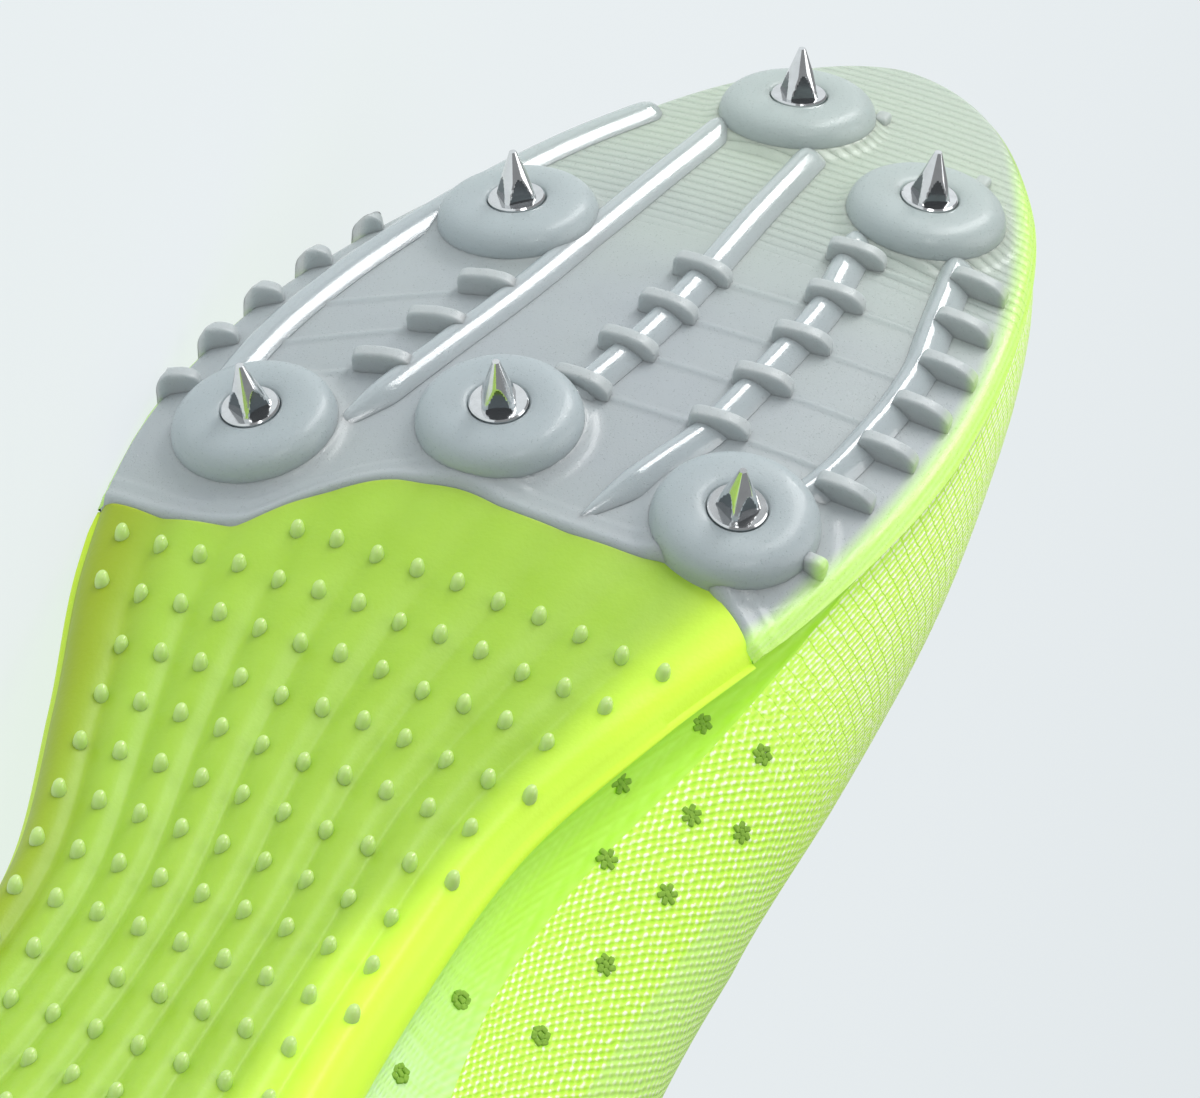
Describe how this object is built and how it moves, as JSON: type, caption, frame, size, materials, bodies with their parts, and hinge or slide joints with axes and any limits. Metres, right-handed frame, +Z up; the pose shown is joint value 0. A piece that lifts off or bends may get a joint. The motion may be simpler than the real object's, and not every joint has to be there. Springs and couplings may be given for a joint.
{
  "type": "track spike shoe",
  "caption": "Right track spike shoe lying on its outer side, with a ribbed forefoot plate carrying steel spikes, a fluted rubber rear sole and a hollow laced mesh upper",
  "frame": {"origin": "on the floor, under the middle of the shoe's bounding box", "axes": "+X towards the heel, +Z up from the floor, which the outer side lies on, and +Y the way the instep faces; the sole faces -Y"},
  "size_m": [0.285, 0.1016, 0.0985],
  "materials": {
    "plate": "soft matte grey plastic, glossier on the ribs",
    "rear_sole": "green translucent rubber",
    "mesh": "neon yellow-green knitted mesh",
    "insole_cloth": "plain grey cloth",
    "overlay": "thin welded film",
    "lace": "flat woven lace",
    "spike": "polished steel"
  },
  "bodies": {
    "root": {"forefoot_plate": "plate", "rear_sole": "rear_sole", "upper": "mesh", "tongue": "mesh", "insole": "insole_cloth", "eyestay": "overlay", "laces": "lace", "spike_toe_lateral": "spike", "spike_toe_medial": "spike", "spike_side_lateral": "spike", "spike_ball_lateral": "spike", "spike_ball_centre": "spike", "spike_ball_medial": "spike"}
  },
  "joints": []
}
